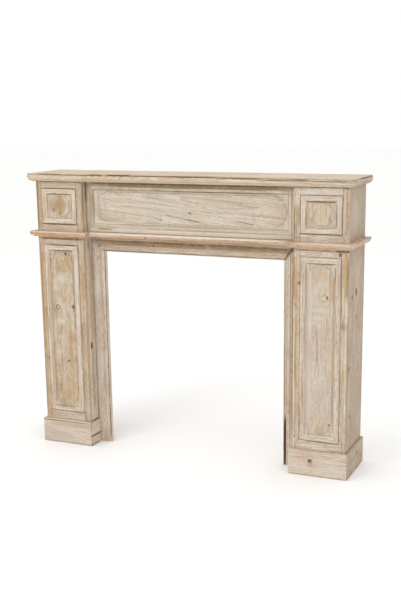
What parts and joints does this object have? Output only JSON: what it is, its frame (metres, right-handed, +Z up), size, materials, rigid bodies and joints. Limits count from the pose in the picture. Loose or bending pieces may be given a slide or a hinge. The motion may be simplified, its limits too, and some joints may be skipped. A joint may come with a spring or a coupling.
{
  "type": "fireplace surround",
  "caption": "Free-standing wooden fireplace surround: moulded shelf, panelled frieze and legs, open hearth.",
  "frame": {"origin": "on the floor, at the middle of the bounding box", "axes": "+X to the viewer's right along the shelf, +Y from the room towards the wall, +Z up"},
  "size_m": [1.26, 0.235, 1.05],
  "materials": {
    "limed_shelf": "matt limewash over softwood, rubbed through at the edges",
    "limed_sides": "matt limewash over softwood, rubbed through at the edges",
    "limed_architrave": "matt limewash over softwood, rubbed through at the edges",
    "worn_necking": "matt limewash over softwood, rubbed through at the edges",
    "limed_plinth": "matt limewash over softwood, rubbed through at the edges",
    "limed_panel": "matt limewash over softwood, rubbed through at the edges",
    "limed_moulding": "matt limewash over softwood, rubbed through at the edges",
    "limed_frame": "matt limewash over softwood, rubbed through at the edges",
    "bare_pine": "bare sawn softwood"
  },
  "bodies": {
    "root": {"architrave_left": "limed_architrave", "architrave_lintel": "limed_architrave", "architrave_right": "limed_architrave", "frieze_frame_bottom": "limed_frame", "frieze_frame_left": "limed_frame", "frieze_frame_right": "limed_frame", "frieze_frame_top": "limed_frame", "frieze_panel": "limed_panel", "left_block_bottom_rail": "limed_frame", "left_block_inner_stile": "limed_frame", "left_block_moulding": "limed_moulding", "left_block_outer_stile": "limed_frame", "left_block_panel": "limed_panel", "left_block_top_rail": "limed_frame", "left_leg_inner_board": "limed_sides", "left_leg_outer_board": "limed_sides", "left_necking_front": "worn_necking", "left_necking_inner": "worn_necking", "left_necking_outer": "worn_necking", "left_pilaster_bottom_rail": "limed_frame", "left_pilaster_inner_stile": "limed_frame", "left_pilaster_moulding_bottom": "limed_moulding", "left_pilaster_moulding_inner": "limed_moulding", "left_pilaster_moulding_outer": "limed_moulding", "left_pilaster_moulding_top": "limed_moulding", "left_pilaster_outer_stile": "limed_frame", "left_pilaster_panel": "limed_panel", "left_pilaster_top_rail": "limed_frame", "left_plinth_front": "limed_plinth", "left_plinth_inner": "limed_plinth", "left_plinth_outer": "limed_plinth", "mantel_board": "limed_shelf", "necking_centre": "worn_necking", "right_block_bottom_rail": "limed_frame", "right_block_inner_stile": "limed_frame", "right_block_moulding": "limed_moulding", "right_block_outer_stile": "limed_frame", "right_block_panel": "limed_panel", "right_block_top_rail": "limed_frame", "right_leg_inner_board": "limed_sides", "right_leg_outer_board": "limed_sides", "right_necking_front": "worn_necking", "right_necking_inner": "worn_necking", "right_necking_outer": "worn_necking", "right_pilaster_bottom_rail": "limed_frame", "right_pilaster_inner_stile": "limed_frame", "right_pilaster_moulding_bottom": "limed_moulding", "right_pilaster_moulding_inner": "limed_moulding", "right_pilaster_moulding_outer": "limed_moulding", "right_pilaster_moulding_top": "limed_moulding", "right_pilaster_outer_stile": "limed_frame", "right_pilaster_panel": "limed_panel", "right_pilaster_top_rail": "limed_frame", "right_plinth_front": "limed_plinth", "right_plinth_inner": "limed_plinth", "right_plinth_outer": "limed_plinth", "shelf_moulding_front": "limed_moulding", "shelf_moulding_left": "limed_moulding", "shelf_moulding_right": "limed_moulding", "soffit_board": "bare_pine"}
  },
  "joints": []
}
